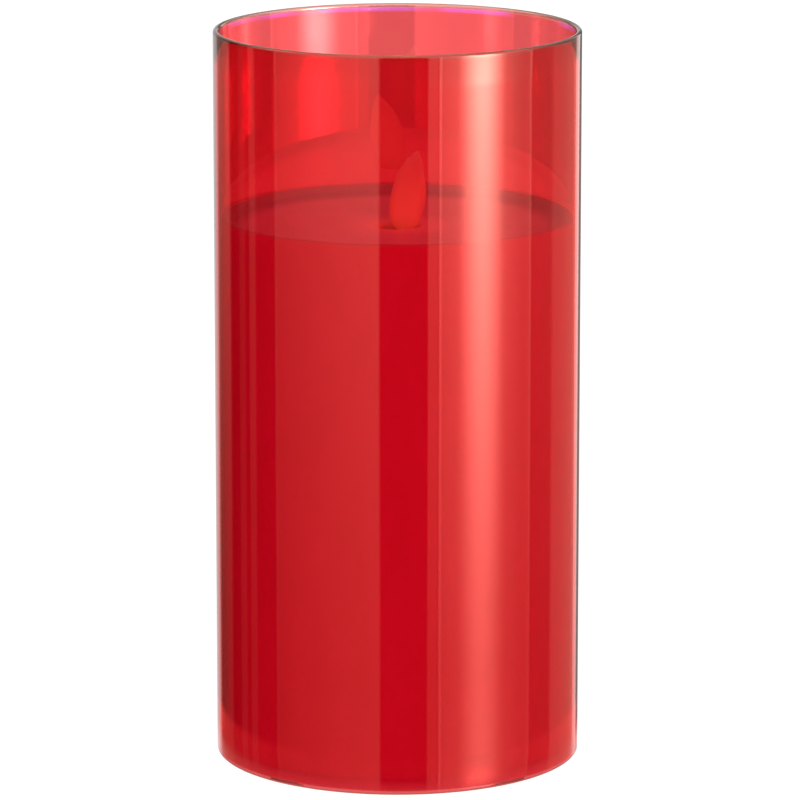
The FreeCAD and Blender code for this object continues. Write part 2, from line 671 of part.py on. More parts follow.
def main():
    os.makedirs("parts", exist_ok=True)
    for name, shape in pieces().items():
        solid = Part.makeCompound(shape) if isinstance(shape, list) else shape
        solid.exportStep(f"parts/{name}.step")


if __name__ == "__main__":
    main()
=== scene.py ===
import json
import math

import bmesh
import bpy
from mathutils import Matrix, Vector, noise as waves


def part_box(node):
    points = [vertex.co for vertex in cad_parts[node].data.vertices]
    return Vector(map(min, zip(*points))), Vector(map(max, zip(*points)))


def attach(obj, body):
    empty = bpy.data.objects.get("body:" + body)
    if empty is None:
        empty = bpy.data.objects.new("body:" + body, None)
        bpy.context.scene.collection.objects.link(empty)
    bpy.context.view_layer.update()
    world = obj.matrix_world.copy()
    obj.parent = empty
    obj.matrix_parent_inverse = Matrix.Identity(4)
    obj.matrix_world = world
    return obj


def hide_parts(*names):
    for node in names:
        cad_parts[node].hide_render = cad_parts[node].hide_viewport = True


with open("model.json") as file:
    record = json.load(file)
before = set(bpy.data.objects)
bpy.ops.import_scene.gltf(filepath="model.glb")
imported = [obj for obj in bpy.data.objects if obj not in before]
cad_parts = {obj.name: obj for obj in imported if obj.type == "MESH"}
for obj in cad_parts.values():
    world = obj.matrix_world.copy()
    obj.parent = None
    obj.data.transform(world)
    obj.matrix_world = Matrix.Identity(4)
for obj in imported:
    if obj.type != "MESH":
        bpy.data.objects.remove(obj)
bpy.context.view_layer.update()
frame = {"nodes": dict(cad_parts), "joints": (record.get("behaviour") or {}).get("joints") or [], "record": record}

MM = 0.001
JOINTS = {joint["name"]: joint for joint in frame["joints"]}

# ---- sizes that repeat the CAD part's, in metres ----------------------------------------------
GLASS_WALL = 1.6 * MM
GLASS_EDGE = 0.8 * MM
WAX_GAP = 0.3 * MM
WAX_POOL = 148.2 * MM
WAX_INNER_R = 42.0 * MM
CAVITY_TOP = 140.0 * MM
CAVITY_ROUND = 6.0 * MM
WICK_HOLE_R = 6.0 * MM
WICK_LIP = 1.6 * MM
COLLAR_POCKET_R = 9.0 * MM
COLLAR_POCKET_TOP = 144.2 * MM
PIVOT = Vector(JOINTS["flame_swing"]["pos_m"])
BLADE_LEAN = math.radians(11.2)
BLADE_THICK = 1.9 * MM
# half width of the teardrop at each height above the pivot, in millimetres
TEARDROP = ((0.0, 6.4), (2.0, 6.6), (3.4, 7.9), (4.4, 10.3), (4.85, 14.4), (4.4, 19.2), (2.95, 24.0),
            (1.15, 27.3), (0.0, 28.5))
# what carries the blade, in millimetres from the pivot: two stems that meet the eye, and the magnet cup,
# whose skin starts and ends almost on its axis
STEMS = ((-10.6, -7.5, -4.5, -1.6), (1.6, 3.8, 6.0, 8.5))
STEM_ACROSS = 1.3
STEM_THROUGH = 0.6
EYE_R = 1.45
EYE_RIM_R = 0.6
CUP_R = 3.0
CUP_LOW = -11.0
CUP_HIGH = -10.2
CUP_EDGE = 0.2
CUP_EDGE_R = 2.7
CUP_MIDDLE_R = 0.001
MAGNET_ASIDE = 1.04
# how far the tip of the blade hooks aside, at which height, and over what length, in millimetres
HOOK = -0.35
HOOK_AT = 22.5
HOOK_LENGTH = 4.0

# ---- colours, as linear light ----------------------------------------------------------------
# what one wall of the glass passes: from inside towards the eye, of a view through the far wall, and of the
# soft light that falls on the wax
GLASS_OUTWARD = (0.62, 0.060, 0.100)
GLASS_INWARD = (0.70, 0.088, 0.092)
GLASS_SOFT = (0.665, 0.034, 0.130)
GLASS_SHEEN = (1.0, 0.43, 0.33)
# the tint of one face where the lustre thins out, and past its end at the mouth and at the foot
THIN_TINT = (0.98, 0.42, 0.88)
# the outer tint at the mouth is a darker brown: painted shade for the dark line along the rim
MOUTH_OUTSIDE_SHADED_TINT = (0.60, 0.22, 0.17)
MOUTH_TINT_INSIDE = (0.97, 0.82, 0.75)
FOOT_TINT = (0.85, 0.34, 0.30)
# share of light that the lustre mirrors, met from outside or within the wall, and met from inside the tube
LUSTRE = 0.02
LUSTRE_INSIDE = 0.15
GLASS_IOR = 1.5
WAX_COLOUR = (0.92, 0.76, 0.60)
FLAME_COLOUR = (1.0, 0.95, 0.55)
LAMP_COLOUR = (1.0, 0.45, 0.12)
LAMP_GLOW = 12.0
# painted light: a glow painted on the wax round the wick hole, and on the blade at its foot and at its tip, in
# place of the lamp's light
PAINTED_WICK_GLOW = 0.15
PAINTED_WICK_GLOW_R = 20 * MM
PAINTED_GLOW_COLOUR = (0.72, 0.80, 0.25)
PAINTED_GLOW_FOOT = 0.30
PAINTED_GLOW_TIP = 0.10

# ---- camera, in metres and degrees -----------------------------------------------------------
CAMERA_AT = Vector((0.0007, -1.472, 0.4153))
CAMERA_PITCH = 12.12
CAMERA_LENS = 246.9


# ==== node helpers ============================================================================
def node(tree, kind, inputs=None, **settings):
    """A new node; an input is a plain value, or a socket that gets linked."""
    made = tree.nodes.new(kind)
    for name, value in settings.items():
        setattr(made, name, value)
    for name, value in (inputs or {}).items():
        if isinstance(value, bpy.types.NodeSocket):
            tree.links.new(value, made.inputs[name])
        else:
            made.inputs[name].default_value = value
    return made


def maths(tree, operation, a, b=0.0, clamp=False):
    return node(tree, "ShaderNodeMath", {0: a, 1: b}, operation=operation, use_clamp=clamp).outputs[0]


def product(tree, *factors):
    so_far = factors[0]
    for factor in factors[1:]:
        so_far = maths(tree, "MULTIPLY", so_far, factor)
    return so_far


def rest_of(tree, share):
    """One less share."""
    return maths(tree, "SUBTRACT", 1.0, share)


def toned(rgb, factors):
    return tuple(c * k for c, k in zip(rgb, factors))


def colour_of(rgb):
    return (*rgb, 1.0)


def mixed_colour(tree, share, a, b, way="MIX"):
    made = node(tree, "ShaderNodeMix", data_type="RGBA", blend_type=way)
    for index, value in ((0, share), (6, a), (7, b)):
        if isinstance(value, bpy.types.NodeSocket):
            tree.links.new(value, made.inputs[index])
        elif index == 0:
            made.inputs[0].default_value = value
        else:
            made.inputs[index].default_value = colour_of(value)
    return made.outputs[2]


def mixed_shader(tree, share, a, b):
    return node(tree, "ShaderNodeMixShader", {0: share, 1: a.outputs[0], 2: b.outputs[0]})


def place(tree):
    """The point on the piece, in metres, in the piece's own frame."""
    return node(tree, "ShaderNodeTexCoord").outputs["Object"]


def axes_of(tree, vector):
    return node(tree, "ShaderNodeSeparateXYZ", {0: vector}).outputs


def from_axis(tree, vector):
    """How far a point is from the candle's upright axis."""
    level = stretched(tree, vector, (1.0, 1.0, 0.0))
    return node(tree, "ShaderNodeVectorMath", {0: level}, operation="LENGTH").outputs[1]


def stretched(tree, vector, scale):
    return node(tree, "ShaderNodeMapping", {"Vector": vector, "Scale": scale}).outputs[0]


def cloud(tree, vector, size_mm, detail=3.0, roughness=0.5):
    """Smooth noise from 0 to 1 whose blotches are about size_mm across."""
    inputs = {"Vector": vector, "Scale": 1000.0 / size_mm, "Detail": detail, "Roughness": roughness}
    return node(tree, "ShaderNodeTexNoise", inputs).outputs[0]


def ranged(tree, value, low, high, to_low, to_high, smooth=False):
    """value mapped from low..high to to_low..to_high, and held at the ends."""
    inputs = {0: value, 1: low, 2: high, 3: to_low, 4: to_high}
    kind = "SMOOTHSTEP" if smooth else "LINEAR"
    return node(tree, "ShaderNodeMapRange", inputs, interpolation_type=kind).outputs[0]


def bumped(tree, height, depth_mm, strength=1.0, below=None):
    inputs = {"Height": height, "Distance": depth_mm * MM, "Strength": strength}
    if below is not None:
        inputs["Normal"] = below
    return node(tree, "ShaderNodeBump", inputs).outputs[0]


def blank(name):
    """A material with an empty node tree and its output."""
    material = bpy.data.materials.new(name)
    material.use_nodes = True
    tree = material.node_tree
    tree.nodes.clear()
    return material, tree, tree.nodes.new("ShaderNodeOutputMaterial")


def principled(tree, output, inputs):
    shader = node(tree, "ShaderNodeBsdfPrincipled", inputs)
    tree.links.new(shader.outputs[0], output.inputs[0])
    return shader


# ==== materials ===============================================================================
def moulded(name, rgb, rough=0.45, grain_mm=0.35, depth_mm=0.012, mottle=0.05):
    """Moulded plastic: spark-eroded grain, faint flow marks and a slightly uneven tone."""
    material, tree, output = blank(name)
    at = place(tree)
    tone = ranged(tree, cloud(tree, at, 14.0, 4.0, 0.6), 0.3, 0.7, 1.0 - mottle, 1.0 + mottle)
    drawn_out = cloud(tree, stretched(tree, at, (1.0, 1.0, 0.12)), 5.0, 2.0)
    shade = product(tree, tone, ranged(tree, drawn_out, 0.35, 0.65, 0.985, 1.015))
    grey = node(tree, "ShaderNodeCombineColor", {0: shade, 1: shade, 2: shade}).outputs[0]
    base = mixed_colour(tree, 1.0, rgb, grey, "MULTIPLY")
    grain = cloud(tree, at, grain_mm, 2.0, 0.6)
    gloss = ranged(tree, cloud(tree, at, 3.0, 3.0), 0.3, 0.7, rough - 0.06, rough + 0.08)
    principled(tree, output, {"Base Color": base, "Roughness": gloss,
                              "Normal": bumped(tree, grain, depth_mm)})
    return material


def metal(name, rgb, rough=0.28, along=(0.08, 1.0, 1.0), stain=0.12):
    """Plated or drawn metal: fine scratches along one way, and dull clouded patches."""
    material, tree, output = blank(name)
    at = place(tree)
    scratch = cloud(tree, stretched(tree, at, along), 0.18, 3.0, 0.65)
    patch = cloud(tree, at, 2.4, 4.0, 0.6)
    base = mixed_colour(tree, ranged(tree, patch, 0.35, 0.75, 0.0, 1.0), rgb,
                        tuple(c * (1.0 - stain) for c in rgb))
    gloss = maths(tree, "ADD", ranged(tree, scratch, 0.3, 0.7, rough - 0.06, rough + 0.1),
                  ranged(tree, patch, 0.4, 0.8, 0.0, 0.12))
    principled(tree, output, {"Base Color": base, "Metallic": 1.0, "Roughness": gloss,
                              "Normal": bumped(tree, scratch, 0.004)})
    return material


def rubbery(name, rgb, rough, clear=0.0):
    """Soft rubber or cured sealant: a dusty bloom over a fine uneven skin."""
    material, tree, output = blank(name)
    at = place(tree)
    bloom = cloud(tree, at, 1.6, 4.0, 0.65)
    dusty = tuple(0.5 * c + 0.4 for c in rgb)
    base = mixed_colour(tree, ranged(tree, bloom, 0.45, 0.8, 0.0, 0.35), rgb, dusty)
    gloss = ranged(tree, bloom, 0.3, 0.8, rough - 0.08, rough + 0.12)
    principled(tree, output, {"Base Color": base, "Roughness": gloss, "Subsurface Weight": clear,
                              "Subsurface Radius": (0.6, 0.55, 0.5), "Subsurface Scale": 2.0 * MM,
                              "Normal": bumped(tree, cloud(tree, at, 0.5, 3.0), 0.02)})
    return material


def insulation(name, rgb):
    """PVC insulation with faint extrusion lines and finger-dulled patches."""
    material, tree, output = blank(name)
    at = place(tree)
    patch = cloud(tree, at, 3.0, 3.0)
    dulled = tuple(0.85 * c + 0.02 for c in rgb)
    base = mixed_colour(tree, ranged(tree, patch, 0.4, 0.7, 0.0, 0.5), rgb, dulled)
    principled(tree, output, {"Base Color": base, "Roughness": ranged(tree, patch, 0.3, 0.7, 0.28, 0.45),
                              "Coat Weight": 0.2, "Coat Roughness": 0.25,
                              "Normal": bumped(tree, cloud(tree, at, 0.3, 2.0), 0.008)})
    return material


def glass_tint(tree, at, inside, into_face):
    """What one face passes: the lustre, uneven in slow streaks, and violet where it thins out at the back.

    inside is 1 on the inner face. into_face is 1 for light met from within the wall. A view that comes in by
    the outer face and leaves by the inner one goes through the near wall.
    """
    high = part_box("glass_cylinder")[1]
    away, height = (axes_of(tree, at)[k] for k in ("Y", "Z"))
    near_wall = rest_of(tree, maths(tree, "ABSOLUTE", maths(tree, "SUBTRACT", inside, into_face)))
    plain_face = ((GLASS_IOR - 1) / (GLASS_IOR + 1)) ** 2
    near_face = tuple(math.sqrt(c) / (1 - plain_face - LUSTRE) for c in GLASS_OUTWARD)
    far_face = tuple(math.sqrt(c) / (1 - plain_face - (LUSTRE + LUSTRE_INSIDE) / 2) for c in GLASS_INWARD)
    tint = mixed_colour(tree, near_wall, far_face, near_face)
    streak = cloud(tree, stretched(tree, at, (1.0, 1.0, 0.25)), 22.0, 3.0, 0.55)
    deeper = mixed_colour(tree, 1.0, tint, (0.985, 0.94, 0.95), "MULTIPLY")
    tint = mixed_colour(tree, ranged(tree, streak, 0.35, 0.7, 0.0, 1.0), tint, deeper)
    patches = cloud(tree, stretched(tree, at, (1.0, 1.0, 0.1)), 26.0, 1.0)
    patches = ranged(tree, patches, 0.42, 0.56, 0.0, 0.8)
    thinning = ranged(tree, height, high.z - 2.6 * MM, high.z - 1.8 * MM, 0.0, 1.0, smooth=True)
    at_back = ranged(tree, away, -10 * MM, 20 * MM, 0.0, 1.0, smooth=True)
    return mixed_colour(tree, product(tree, thinning, at_back, patches), tint, THIN_TINT)


def red_glass():
    """Clear blown glass with a transparent red lustre, which reddens its gloss except when met edge on.

    The lustre stops short of the fire-polished mouth and foot; the mouth's outer face takes a darker brown tint,
    painted shade for the dark line along the rim.
    """
    material, tree, output = blank("red_glass")
    at = place(tree)
    low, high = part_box("glass_cylinder")
    height = axes_of(tree, at)["Z"]
    inner = high.x - GLASS_WALL
    inside = ranged(tree, from_axis(tree, at), inner + 0.2 * MM, inner + 0.6 * MM, 1.0, 0.0)
    into_face = node(tree, "ShaderNodeNewGeometry").outputs["Backfacing"]
    from_inside = product(tree, inside, rest_of(tree, into_face))
    at_mouth = ranged(tree, height, high.z - 1.4 * MM, high.z - 0.9 * MM, 0.0, 0.9, smooth=True)
    at_foot = ranged(tree, height, low.z + 0.5 * MM, low.z + 1.1 * MM, 0.9, 0.0, smooth=True)
    tint = glass_tint(tree, at, inside, into_face)
    # painted shade: the mouth's outer face takes the darker brown tint that draws the rim's dark line
    mouth_tint = mixed_colour(tree, inside, MOUTH_OUTSIDE_SHADED_TINT, MOUTH_TINT_INSIDE)
    tint = mixed_colour(tree, at_mouth, tint, mouth_tint)
    tint = mixed_colour(tree, at_foot, tint, FOOT_TINT)

    glancing = node(tree, "ShaderNodeLayerWeight", {"Blend": 0.5}).outputs["Facing"]
    sheen = mixed_colour(tree, from_inside, GLASS_SHEEN, (1.0, 0.95, 0.90))
    sheen = mixed_colour(tree, maths(tree, "MAXIMUM", at_mouth, at_foot), sheen, (1.0, 0.62, 0.50))
    sheen = mixed_colour(tree, ranged(tree, glancing, 0.70, 0.88, 0.0, 1.0), sheen, (1.0, 0.97, 0.96))
    ripple = cloud(tree, stretched(tree, at, (1.0, 1.0, 0.15)), 30.0, 1.5, 0.4)
    normal = bumped(tree, ripple, 0.25, 0.4)
    bent = node(tree, "ShaderNodeBsdfRefraction",
                {"Color": tint, "Roughness": 0.0, "IOR": GLASS_IOR, "Normal": normal})
    mirrored = node(tree, "ShaderNodeBsdfAnisotropic", {"Color": sheen, "Roughness": 0.01, "Normal": normal})
    fresnel = node(tree, "ShaderNodeFresnel", {"IOR": GLASS_IOR, "Normal": normal}).outputs[0]
    lustre = ranged(tree, from_inside, 0.0, 1.0, LUSTRE, LUSTRE_INSIDE)
    share = maths(tree, "ADD", lustre, product(tree, fresnel, rest_of(tree, lustre)))
    glass = mixed_shader(tree, share, bent, mirrored)
    soft_face = tuple(math.sqrt(c) for c in GLASS_SOFT)
    clear = node(tree, "ShaderNodeBsdfTransparent", {"Color": colour_of(soft_face)})
    path = node(tree, "ShaderNodeLightPath")
    for ray in ("Is Diffuse Ray", "Is Shadow Ray"):
        glass = mixed_shader(tree, path.outputs[ray], glass, clear)
    tree.links.new(glass.outputs[0], output.inputs[0])
    return material


def wax():
    """Cast wax that light soaks into, with cloudy streaks, painted shade on its crest's inner slope and a painted
    glow at the wick.
    """
    material, tree, output = blank("wax")
    at = place(tree)
    streaks = cloud(tree, stretched(tree, at, (1.0, 1.0, 0.4)), 9.0, 5.0, 0.6)
    darker = toned(WAX_COLOUR, (0.95, 0.90, 0.80))
    base = mixed_colour(tree, ranged(tree, streaks, 0.35, 0.7, 0.0, 1.0), WAX_COLOUR, darker)
    spread = from_axis(tree, at)
    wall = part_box("wax_shell")[1].x
    away, height = (axes_of(tree, at)[k] for k in ("Y", "Z"))
    # painted shade: the crest's inner slope above the pool is darkened, more towards the back
    painted_crest_shade = product(tree, ranged(tree, spread, wall - 10.0 * MM, wall - 2.5 * MM, 0.0, 0.8, smooth=True),
                    ranged(tree, spread, wall - 0.25 * MM, wall - 0.08 * MM, 1.0, 0.0),
                    ranged(tree, height, WAX_POOL - 1 * MM, WAX_POOL, 0.0, 1.0),
                    ranged(tree, away, -35 * MM, 10 * MM, 0.4, 1.0))
    base = mixed_colour(tree, painted_crest_shade, base, toned(WAX_COLOUR, (0.50, 0.42, 0.40)))
    on_top = ranged(tree, height, WAX_POOL - 2.5 * MM, WAX_POOL - 1 * MM, 0.0, 1.0)
    # painted light: emission on the pool round the wick hole, in place of the lamp's light shining up through it
    painted_wick_glow = product(tree, on_top, ranged(tree, spread, WICK_HOLE_R, PAINTED_WICK_GLOW_R, PAINTED_WICK_GLOW, 0.0, smooth=True))
    skin = cloud(tree, at, 1.8, 4.0, 0.55)
    pits = cloud(tree, at, 0.45, 2.0, 0.5)
    normal = bumped(tree, pits, 0.02, below=bumped(tree, skin, 0.06))
    principled(tree, output, {"Base Color": base, "Roughness": ranged(tree, skin, 0.3, 0.7, 0.42, 0.58),
                              "Specular IOR Level": 0.25, "Subsurface Weight": 0.35,
                              "Subsurface Radius": (1.0, 0.55, 0.3), "Subsurface Scale": 4.0 * MM,
                              "Normal": normal,
                              "Emission Color": colour_of(LAMP_COLOUR), "Emission Strength": painted_wick_glow})
    return material


def flame_plastic():
    """Frosted translucent plastic with a faint satin grain, and a painted glow in place of the light of the lamp
    below, dimmed at its edges and at its foot.
    """
    material, tree, output = blank("flame_plastic")
    at = place(tree)
    x, height = (axes_of(tree, at)[k] for k in ("X", "Z"))
    up = ranged(tree, height, PIVOT.z + 12 * MM, PIVOT.z + 28 * MM, 0.0, 1.0, smooth=True)
    mist = cloud(tree, at, 2.2, 4.0, 0.6)
    base = mixed_colour(tree, up, FLAME_COLOUR, toned(FLAME_COLOUR, (0.86, 0.84, 0.86)))
    base = mixed_colour(tree, ranged(tree, mist, 0.35, 0.7, 0.0, 0.4), base, (1.0, 0.97, 0.66))
    above_pivot = maths(tree, "SUBTRACT", height, PIVOT.z)
    aside = maths(tree, "SUBTRACT", product(tree, x, math.cos(BLADE_LEAN)),
                  product(tree, above_pivot, math.sin(BLADE_LEAN)))
    # painted shade: the painted glow falls off towards the blade's edges and near its foot
    painted_edge_shade = ranged(tree, maths(tree, "ABSOLUTE", aside), 2.4 * MM, 4.8 * MM, 1.0, 0.4, smooth=True)
    above_foot = ranged(tree, height, PIVOT.z + 4 * MM, PIVOT.z + 11 * MM, 0.45, 1.0, smooth=True)
    # painted light: emission that stands in for the lamp's light held in the blade
    painted_glow = product(tree, ranged(tree, up, 0.0, 1.0, PAINTED_GLOW_FOOT, PAINTED_GLOW_TIP),
                   ranged(tree, mist, 0.3, 0.7, 0.9, 1.1), product(tree, painted_edge_shade, above_foot))
    principled(tree, output, {"Base Color": base, "Roughness": ranged(tree, mist, 0.3, 0.7, 0.38, 0.52),
                              "Subsurface Weight": 0.6, "Subsurface Radius": (1.0, 0.7, 0.4),
                              "Subsurface Scale": 1.5 * MM,
                              "Normal": bumped(tree, cloud(tree, at, 0.25, 2.0), 0.01),
                              "Emission Color": colour_of(PAINTED_GLOW_COLOUR), "Emission Strength": painted_glow})
    return material


def cell_sleeve():
    """The sleeve of a cell: a dark body, a copper-toned band at the positive end and bare steel ends."""
    material, tree, output = blank("cell_sleeve")
    at = place(tree)
    x, y = (axes_of(tree, at)[k] for k in ("X", "Y"))
    middle = (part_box("battery_cell_front")[1].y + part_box("battery_cell_back")[0].y) / 2
    facing = ranged(tree, y, middle - 0.1 * MM, middle + 0.1 * MM, 1.0, -1.0)
    along = product(tree, x, facing)
    band = ranged(tree, along, 14.0 * MM, 14.3 * MM, 0.0, 1.0)
    bare = maths(tree, "MAXIMUM", ranged(tree, along, 26.1 * MM, 26.3 * MM, 0.0, 1.0),
                 ranged(tree, along, -22.3 * MM, -22.1 * MM, 1.0, 0.0))
    scuff = cloud(tree, stretched(tree, at, (0.2, 1.0, 1.0)), 0.8, 4.0, 0.65)
    print_tone = mixed_colour(tree, band, (0.02, 0.023, 0.03), (0.55, 0.27, 0.10))
    print_tone = mixed_colour(tree, ranged(tree, scuff, 0.62, 0.8, 0.0, 0.5), print_tone, (0.25, 0.25, 0.26))
    base = mixed_colour(tree, bare, print_tone, (0.62, 0.62, 0.64))
    shiny = maths(tree, "MAXIMUM", bare, product(tree, band, 0.7))
    principled(tree, output, {"Base Color": base, "Metallic": shiny,
                              "Roughness": ranged(tree, scuff, 0.3, 0.8, 0.24, 0.42),
                              "Normal": bumped(tree, scuff, 0.006)})
    return material


def wound_copper():
    """Layers of enamelled wire, seen as fine rings with a few crossing strands."""
    material, tree, output = blank("coil_copper")
    at = place(tree)
    height = axes_of(tree, at)["Z"]
    strand_pitch = 0.16 * MM
    strands = maths(tree, "SINE", product(tree, height, math.tau / strand_pitch))
    uneven = cloud(tree, at, 1.1, 4.0, 0.6)
    lay = maths(tree, "ADD", strands, product(tree, uneven, 1.6))
    base = mixed_colour(tree, ranged(tree, lay, -0.8, 2.2, 0.0, 1.0), (0.22, 0.07, 0.03), (0.80, 0.34, 0.14))
    principled(tree, output, {"Base Color": base, "Metallic": 0.85, "Roughness": 0.32, "Coat Weight": 0.4,
                              "Coat Roughness": 0.15, "Normal": bumped(tree, lay, 0.03)})
    return material


def board_laminate():
    """Green solder resist with raised tracks beneath it and brown laminate at the cut edges."""
    material, tree, output = blank("board_laminate")
    at = place(tree)
    low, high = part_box("circuit_board")
    x, y = (axes_of(tree, at)[k] for k in ("X", "Y"))
    on_board = node(tree, "ShaderNodeCombineXYZ", {0: x, 1: axes_of(tree, at)["Z"]}).outputs[0]
    grid = {"Vector": on_board, "Scale": 1000.0 / 5.0, "Mortar Size": 0.035, "Brick Width": 0.7,
            "Row Height": 0.3}
    track = node(tree, "ShaderNodeTexBrick", grid).outputs["Fac"]
    resist = mixed_colour(tree, track, (0.008, 0.085, 0.03), (0.03, 0.20, 0.07))
    dimmed = ranged(tree, cloud(tree, at, 3.0, 4.0), 0.4, 0.7, 0.0, 0.4)
    resist = mixed_colour(tree, dimmed, resist, (0.005, 0.06, 0.022))
    middle = (low.y + high.y) / 2
    from_middle = maths(tree, "ABSOLUTE", maths(tree, "SUBTRACT", y, middle))
    cut = rest_of(tree, ranged(tree, from_middle, 0.50 * MM, 0.54 * MM, 0.0, 1.0))
    base = mixed_colour(tree, cut, resist, (0.36, 0.27, 0.10))
    principled(tree, output, {"Base Color": base, "Roughness": ranged(tree, cut, 0.0, 1.0, 0.25, 0.7),
                              "Normal": bumped(tree, track, 0.03)})
    return material


def led_epoxy():
    """Water-clear epoxy with a faint warm cast, lit and hazy near its foot."""
    material, tree, output = blank("led_epoxy")
    at = place(tree)
    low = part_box("flame_led")[0]
    height = axes_of(tree, at)["Z"]
    foot = ranged(tree, height, low.z + 1.5 * MM, low.z + 3.5 * MM, 1.0, 0.0, smooth=True)
    haze = cloud(tree, at, 0.6, 3.0)
    base = mixed_colour(tree, foot, (0.97, 0.93, 0.84), (0.86, 0.70, 0.32))
    principled(tree, output, {"Base Color": base, "Roughness": ranged(tree, haze, 0.3, 0.7, 0.06, 0.14),
                              "IOR": 1.52, "Transmission Weight": ranged(tree, foot, 0.0, 1.0, 0.85, 0.2),
                              "Normal": bumped(tree, haze, 0.004), "Emission Color": colour_of(LAMP_COLOUR),
                              "Emission Strength": product(tree, foot, LAMP_GLOW)})
    return material


def capacitor_can():
    """An aluminium can in a dark shrink sleeve, with a pale minus stripe down one side."""
    material, tree, output = blank("capacitor_can")
    at = place(tree)
    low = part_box("capacitor")[0]
    x, y = (axes_of(tree, at)[k] for k in ("X", "Y"))
    top = ranged(tree, y, low.y + 0.05 * MM, low.y + 0.12 * MM, 1.0, 0.0)
    stripe = ranged(tree, x, low.x + 0.9 * MM, low.x + 1.0 * MM, 1.0, 0.0)
    sleeve = mixed_colour(tree, stripe, (0.02, 0.022, 0.04), (0.55, 0.56, 0.58))
    wear = cloud(tree, at, 0.5, 4.0, 0.6)
    base = mixed_colour(tree, top, sleeve, (0.72, 0.73, 0.74))
    principled(tree, output, {"Base Color": base, "Metallic": top,
                              "Roughness": ranged(tree, wear, 0.3, 0.7, 0.25, 0.4),
                              "Normal": bumped(tree, wear, 0.006)})
    return material


def resistor_ceramic():
    """Thick-film resistors: black glazed body with tinned end caps."""
    material, tree, output = blank("resistor_ceramic")
    at = place(tree)
    x = axes_of(tree, at)["X"]
    low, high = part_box("chip_resistors")
    caps = 0.0
    for middle in (low.x + 0.8 * MM, high.x - 0.8 * MM):
        off = maths(tree, "ABSOLUTE", maths(tree, "SUBTRACT", x, middle))
        near = ranged(tree, off, 0.9 * MM, 0.95 * MM, 1.0, 0.0)
        end = product(tree, ranged(tree, off, 0.5 * MM, 0.54 * MM, 0.0, 1.0), near)
        caps = end if caps == 0.0 else maths(tree, "MAXIMUM", caps, end)
    wear = cloud(tree, at, 0.3, 3.0)
    body = mixed_colour(tree, wear, (0.008, 0.008, 0.009), (0.03, 0.03, 0.032))
    base = mixed_colour(tree, caps, body, (0.7, 0.7, 0.68))
    principled(tree, output, {"Base Color": base, "Metallic": caps,
                              "Roughness": ranged(tree, wear, 0.3, 0.7, 0.25, 0.45),
                              "Normal": bumped(tree, wear, 0.004)})
    return material


def all_materials():
    return {
        "red_glass": red_glass(),
        "wax": wax(),
        "flame_plastic": flame_plastic(),
        "cell_sleeve": cell_sleeve(),
        "coil_copper": wound_copper(),
        "board_laminate": board_laminate(),
        "led_epoxy": led_epoxy(),
        "capacitor_can": capacitor_can(),
        "resistor_ceramic": resistor_ceramic(),
        "base_plastic": moulded("base_plastic", (0.80, 0.75, 0.64)),
        "door_plastic": moulded("door_plastic", (0.82, 0.77, 0.66), rough=0.5, grain_mm=0.5, depth_mm=0.018),
        "tower_plastic": moulded("tower_plastic", (0.76, 0.76, 0.72), rough=0.42),
        "bobbin_plastic": moulded("bobbin_plastic", (0.62, 0.62, 0.57), rough=0.38, grain_mm=0.25),
        "collar_plastic": moulded("collar_plastic", (0.80, 0.68, 0.46), rough=0.5),
        "clip_plastic": moulded("clip_plastic", (0.012, 0.012, 0.013), rough=0.5),
        "switch_plastic": moulded("switch_plastic", (0.013, 0.013, 0.015), rough=0.4),
        "slider_plastic": moulded("slider_plastic", (0.010, 0.010, 0.011), rough=0.5, grain_mm=0.25),
        "chip_plastic": moulded("chip_plastic", (0.011, 0.011, 0.012), rough=0.6, grain_mm=0.12,
                                depth_mm=0.006),
        "silicone": rubbery("silicone", (0.88, 0.82, 0.74), 0.5, clear=0.4),
        "rubber": rubbery("rubber", (0.30, 0.30, 0.29), 0.6),
        "contact_metal": metal("contact_metal", (0.70, 0.68, 0.60), rough=0.25),
        "switch_steel": metal("switch_steel", (0.60, 0.60, 0.60), rough=0.3),
        "screw_steel": metal("screw_steel", (0.58, 0.59, 0.62), rough=0.3, along=(1.0, 1.0, 0.1)),
        "wire_steel": metal("wire_steel", (0.62, 0.62, 0.63), rough=0.2, along=(1.0, 0.05, 1.0)),
        "magnet_metal": metal("magnet_metal", (0.60, 0.60, 0.58), rough=0.16, stain=0.08),
        "lead_red": insulation("lead_red", (0.42, 0.012, 0.010)),
        "lead_black": insulation("lead_black", (0.012, 0.012, 0.014)),
    }


# ==== pieces ==================================================================================
def arc_points(centre, radius, start, end, steps):
    """Points along an arc in the (radius, height) plane, between two angles in degrees."""
    turns = [math.radians(start + (end - start) * k / steps) for k in range(steps + 1)]
    return [(centre[0] + radius * math.cos(t), centre[1] + radius * math.sin(t)) for t in turns]


def between(a, b, steps):
    """Points from a up to, but without, b."""
    return [tuple(p + (q - p) * k / steps for p, q in zip(a, b)) for k in range(steps)]


def catmull_rom(p, q, r, s, t):
    """The value at share t of the way from q to r, with p before them and s after them."""
    return 0.5 * (2 * q + (r - p) * t + (2 * p - 5 * q + 4 * r - s) * t * t
                  + (3 * q - p - 3 * r + s) * t ** 3)


def smooth_curve(points, steps):
    """A curve through all the points (Catmull-Rom), with steps pieces between each two."""
    padded = [points[0], *points, points[-1]]
    out = []
    for a, b, c, d in zip(padded, padded[1:], padded[2:], padded[3:]):
        for k in range(steps):
            out.append(tuple(catmull_rom(*four, k / steps) for four in zip(a, b, c, d)))
    out.append(tuple(points[-1]))
    return out


def as_object(name, mesh, material, slot, body, *nodes):
    """A finished piece: shaded, painted, riding on its body and standing for its CAD nodes."""
    made = bpy.data.objects.new(name, mesh)
    bpy.context.scene.collection.objects.link(made)
    mesh.materials.append(material)
    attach(made, body)
    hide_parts(*nodes)
    return made


